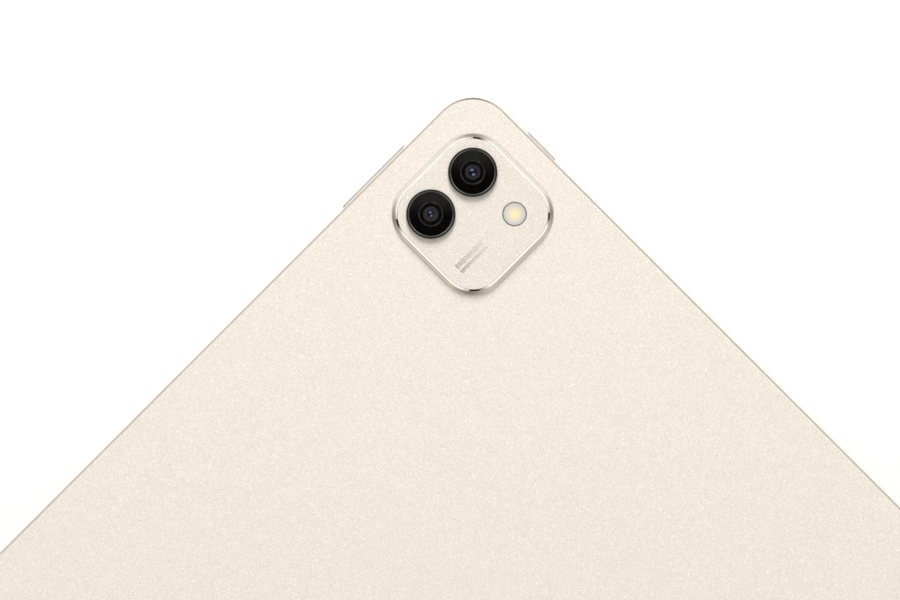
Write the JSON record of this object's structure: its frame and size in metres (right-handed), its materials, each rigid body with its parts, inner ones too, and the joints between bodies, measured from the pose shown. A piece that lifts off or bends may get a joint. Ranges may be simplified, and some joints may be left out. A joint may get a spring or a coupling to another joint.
{
  "type": "tablet computer",
  "caption": "Thin cream metal tablet lying on its display, with a raised square camera plateau on the back, a power key, a volume rocker and a charging socket.",
  "frame": {"origin": "middle of the display glass's outer face, the face the tablet rests on", "axes": "+Z out of the back; +X along the long edges towards the rear cameras; +Y towards the long edge that holds the volume rocker"},
  "size_m": [0.2596, 0.1766, 0.0078],
  "materials": {
    "pearl_aluminium": "satin, fine pearl sparkle",
    "polished_aluminium": "polished",
    "black_metal": "satin, black anodised",
    "cover_glass": "polished, black behind",
    "lens_glass": "polished, blue coated",
    "clear_diffuser": "translucent, fine rings",
    "flash_phosphor": "matte",
    "cream_plastic": "matte",
    "black_plastic": "matte",
    "diffusing_film": "satin",
    "graphite_sheet": "satin",
    "battery_foil": "matte laminate foil",
    "circuit_board": "solder mask",
    "flat_cable": "satin",
    "steel": "satin"
  },
  "bodies": {
    "chassis": {"rear_housing": "pearl_aluminium", "camera_deck": "pearl_aluminium", "camera_bezel": "polished_aluminium", "main_lens_ring": "black_metal", "second_lens_ring": "black_metal", "display_glass": "cover_glass", "display_panel": "cover_glass", "main_lens_window": "lens_glass", "second_lens_window": "lens_glass", "second_front_lens": "lens_glass", "flash_diffuser": "clear_diffuser", "flash_led": "flash_phosphor", "antenna_band_1": "cream_plastic", "antenna_band_2": "cream_plastic", "display_frame": "black_plastic", "second_lens_barrel": "black_plastic", "front_camera": "black_plastic", "light_sensor": "black_plastic", "socket_tongue": "black_plastic", "processor": "black_plastic", "speaker_right_upper": "black_plastic", "speaker_right_lower": "black_plastic", "speaker_left_upper": "black_plastic", "speaker_left_lower": "black_plastic", "backlight_unit": "diffusing_film", "heat_spreader": "graphite_sheet", "battery_cell_left": "battery_foil", "battery_cell_right": "battery_foil", "main_board": "circuit_board", "socket_board": "circuit_board", "battery_board": "circuit_board", "flash_board": "circuit_board", "power_flex": "flat_cable", "volume_flex": "flat_cable", "link_flex": "flat_cable", "display_flex": "flat_cable", "socket_shell": "steel", "main_camera_body": "steel", "second_camera_body": "steel", "processor_shield": "steel", "memory_shield": "steel", "power_switch": "steel", "volume_up_switch": "steel", "volume_down_switch": "steel", "board_screw_1": "steel", "board_screw_2": "steel", "board_screw_3": "steel", "board_screw_4": "steel", "socket_board_screw_1": "steel", "socket_board_screw_2": "steel", "speaker_mesh_right_upper": "steel", "speaker_mesh_right_lower": "steel", "speaker_mesh_left_upper": "steel", "speaker_mesh_left_lower": "steel", "microphone_1": "steel", "microphone_2": "steel"},
    "power_key": {"power_button": "polished_aluminium"},
    "volume_key": {"volume_rocker": "polished_aluminium"},
    "focus_carriage": {"main_lens_barrel": "black_plastic", "main_front_lens": "lens_glass"}
  },
  "joints": [
    {"name": "power_press", "type": "slide", "parent": "chassis", "child": "power_key", "axis": [-1, 0, 0], "range_m": [0, 0.00025], "stiffness_N_per_m": 2000, "springref_m": -0.0005},
    {"name": "volume_rock", "type": "hinge", "parent": "chassis", "child": "volume_key", "pos_m": [0.095, 0.0872, 0.0032], "axis": [0, 0, 1], "range_deg": [-1.3, 1.3], "stiffness_Nm_per_rad": 0.66},
    {"name": "main_focus", "type": "slide", "parent": "chassis", "child": "focus_carriage", "axis": [0, 0, 1], "range_m": [0, 0.00025], "stiffness_N_per_m": 100, "springref_m": -0.0001}
  ]
}
